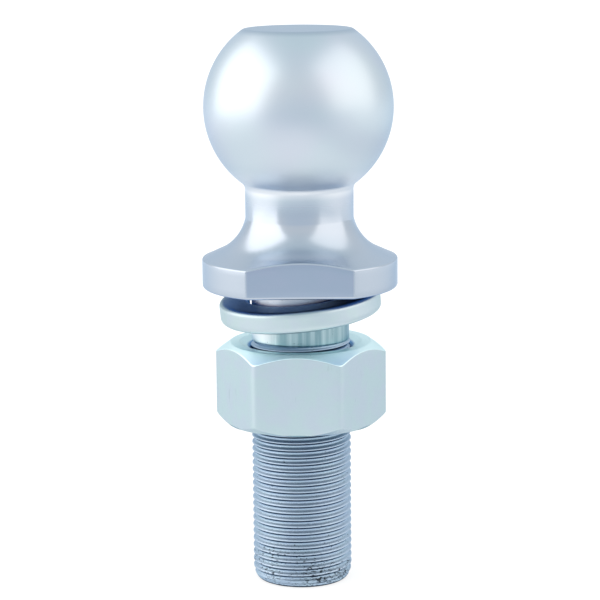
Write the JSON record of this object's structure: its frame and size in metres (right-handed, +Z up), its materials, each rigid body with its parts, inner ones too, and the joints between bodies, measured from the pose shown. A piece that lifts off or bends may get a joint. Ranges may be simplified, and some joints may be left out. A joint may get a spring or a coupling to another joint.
{
  "type": "threaded tow ball",
  "caption": "Forged tow ball on a flanged, threaded shank, with a split spring washer and a hex nut that clamp it to a drawbar.",
  "frame": {"origin": "centre of the shank's end face, on which the tow ball stands", "axes": "+Z up along the stud's axis towards the ball, with the front wrench flat facing -Y"},
  "size_m": [0.0494, 0.0476, 0.141],
  "materials": {
    "bright_zinc_plate": "bright plated steel, satin, with faint turning marks",
    "blue_passivated_zinc": "pale blue-green passivated zinc plate on steel, semi-matt"
  },
  "bodies": {
    "stud": {"ball_stud": "bright_zinc_plate"},
    "washer": {"spring_washer": "blue_passivated_zinc"},
    "nut": {"hex_nut": "blue_passivated_zinc"}
  },
  "joints": [
    {"name": "washer_slide", "type": "slide", "parent": "stud", "child": "washer", "axis": [0, 0, 1], "range_m": [-0.0411, 0]},
    {"name": "nut_spin", "type": "hinge", "parent": "washer", "child": "nut", "pos_m": [0, 0, 0.0515], "axis": [0, 0, 1], "range_deg": [-8135, 0]}
  ],
  "couplings": [
    {"joint": "washer_slide", "follows": "nut_spin", "m_per_rad": 0.00028875}
  ]
}
